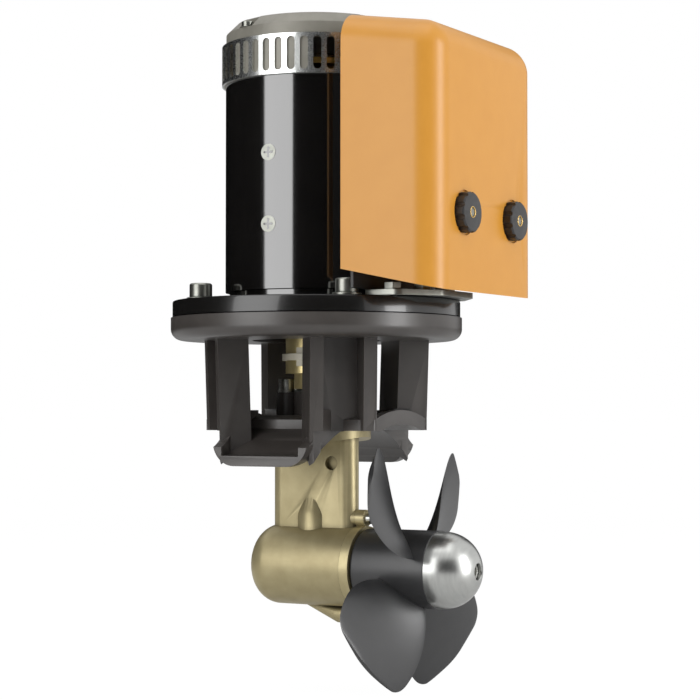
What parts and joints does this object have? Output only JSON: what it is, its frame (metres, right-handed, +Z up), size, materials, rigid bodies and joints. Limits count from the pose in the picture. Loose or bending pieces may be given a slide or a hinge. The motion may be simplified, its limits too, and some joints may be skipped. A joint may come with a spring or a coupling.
{
  "type": "bow thruster",
  "caption": "Electric bow thruster with a motor, tunnel saddle support, bronze gear leg, four-blade propeller and an orange electrical cover.",
  "frame": {"origin": "where the vertical motor axis crosses the propeller axis, which is also the tunnel's axis", "axes": "+X along the propeller shaft towards the propeller's nose, +Z up along the motor axis"},
  "size_m": [0.2473, 0.2076, 0.4685],
  "materials": {
    "black_casting": "satin",
    "bronze": "satin",
    "gasket": "matte",
    "stainless": "satin",
    "seal_rubber": "matte",
    "bearing_steel": "polished",
    "bush_bronze": "satin",
    "gear_steel": "satin",
    "gear_bronze": "satin",
    "propeller_plastic": "satin",
    "zinc": "satin",
    "coupling_brass": "satin",
    "spider_nylon": "satin",
    "motor_black": "gloss",
    "cap_casting": "cast",
    "band_chrome": "polished",
    "lamination": "matte",
    "copper": "satin",
    "carbon": "matte",
    "holder_brass": "satin",
    "orange_plastic": "gloss",
    "black_plastic": "satin",
    "knob_brass": "satin",
    "zinc_steel": "satin"
  },
  "bodies": {
    "support": {"support_housing": "black_casting", "gear_leg": "bronze", "leg_gasket": "gasket", "leg_end_cap": "gear_bronze", "leg_screws": "stainless", "leg_screw_washers": "stainless", "leg_end_cap_screws": "stainless", "pinion_bushes": "bush_bronze", "pinion_shaft_seal": "seal_rubber", "pinion_bearing": "bearing_steel", "boss_ring": "zinc_steel", "front_shaft_bearing": "bearing_steel", "rear_shaft_bearing": "bearing_steel", "propeller_shaft_seal": "seal_rubber", "motor_plate": "motor_black", "plate_washers": "zinc_steel", "plate_bolts": "zinc_steel", "drive_end_bracket": "motor_black", "motor_bearings": "bearing_steel", "motor_yoke": "motor_black", "pole_shoes": "lamination", "pole_screws": "zinc_steel", "field_coils": "copper", "brush_ring": "holder_brass", "brushes": "carbon", "brush_springs": "bearing_steel", "end_cap": "cap_casting", "end_cap_bolts": "zinc_steel", "vent_band": "band_chrome", "panel_spacers": "zinc_steel", "back_panel": "black_plastic", "contactor_tray": "zinc_steel", "tray_bolts": "zinc_steel", "cover_studs": "zinc_steel", "contactor": "black_plastic", "terminal_block": "black_plastic", "battery_studs": "zinc_steel", "battery_nuts": "zinc_steel", "bus_bars": "copper", "motor_terminals": "copper"},
    "rotor": {"pinion": "gear_steel", "pinion_shaft": "stainless", "coupling_lower": "coupling_brass", "coupling_spider": "spider_nylon", "coupling_upper": "coupling_brass", "motor_shaft": "stainless", "armature_core": "lamination", "armature_windings": "copper", "commutator": "copper"},
    "propeller_group": {"propeller": "propeller_plastic", "propeller_shaft": "stainless", "crown_gear": "gear_bronze", "drive_pin": "stainless", "nose_anode": "zinc", "nose_bolt": "stainless"},
    "cover_shell": {"cover": "orange_plastic"},
    "near_knob": {"knob_near": "black_plastic", "knob_near_insert": "knob_brass"},
    "far_knob": {"knob_far": "black_plastic", "knob_far_insert": "knob_brass"}
  },
  "joints": [
    {"name": "rotor_spin", "type": "hinge", "parent": "support", "child": "rotor", "pos_m": [0, 0, 0.26], "axis": [0, 0, 1], "continuous": true},
    {"name": "propeller_spin", "type": "hinge", "parent": "support", "child": "propeller_group", "pos_m": [0, 0, 0], "axis": [1, 0, 0], "continuous": true},
    {"name": "cover_slide", "type": "slide", "parent": "support", "child": "cover_shell", "axis": [1, 0, 0], "range_m": [0, 0.15]},
    {"name": "near_knob_turn", "type": "hinge", "parent": "cover_shell", "child": "near_knob", "pos_m": [0.1395, -0.0366, 0.2415], "axis": [1, 0, 0], "range_deg": [0, 2160]},
    {"name": "far_knob_turn", "type": "hinge", "parent": "cover_shell", "child": "far_knob", "pos_m": [0.1395, 0.0366, 0.2415], "axis": [1, 0, 0], "range_deg": [0, 2160]}
  ],
  "couplings": [
    {"joint": "propeller_spin", "follows": "rotor_spin", "ratio": -0.5}
  ]
}
